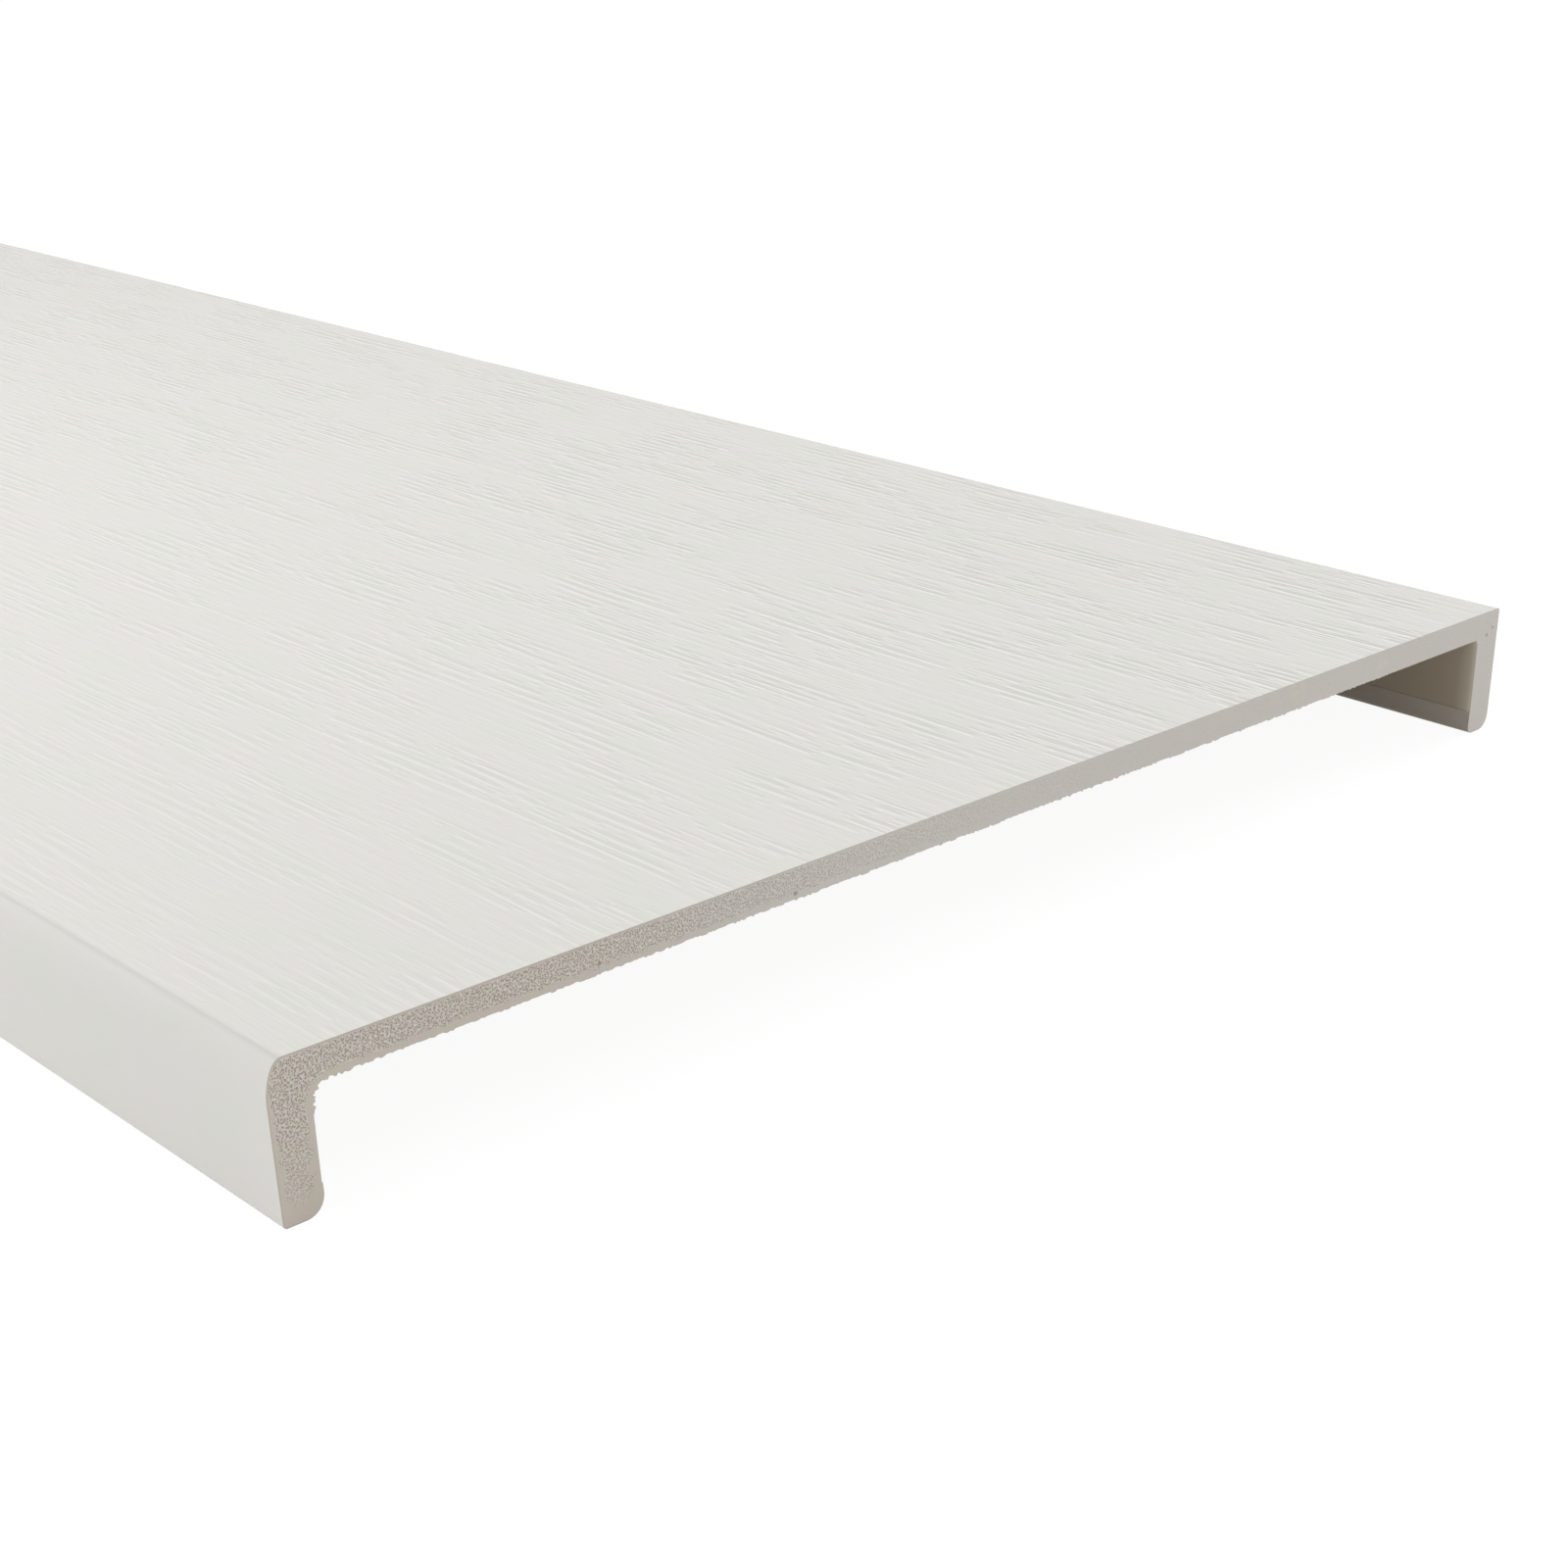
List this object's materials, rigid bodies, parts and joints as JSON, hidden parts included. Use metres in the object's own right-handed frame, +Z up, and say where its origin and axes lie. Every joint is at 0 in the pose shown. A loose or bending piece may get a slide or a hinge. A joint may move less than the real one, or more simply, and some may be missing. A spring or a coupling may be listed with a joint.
{
  "type": "fascia board",
  "caption": "Wide flat fascia board with a leg turned down along each long edge, in off-white woodgrain foamed PVC.",
  "frame": {"origin": "middle of the bottom, on the plane of the legs' feet", "axes": "+Y along the board's length, +Z up from the feet to the face, +X across the width to the leg with the square corner"},
  "size_m": [0.404, 1.25, 0.035],
  "materials": {
    "foamed_pvc": "off-white satin skin embossed with woodgrain, finely porous where it is sawn"
  },
  "bodies": {
    "root": {"fascia_board": "foamed_pvc"}
  },
  "joints": []
}
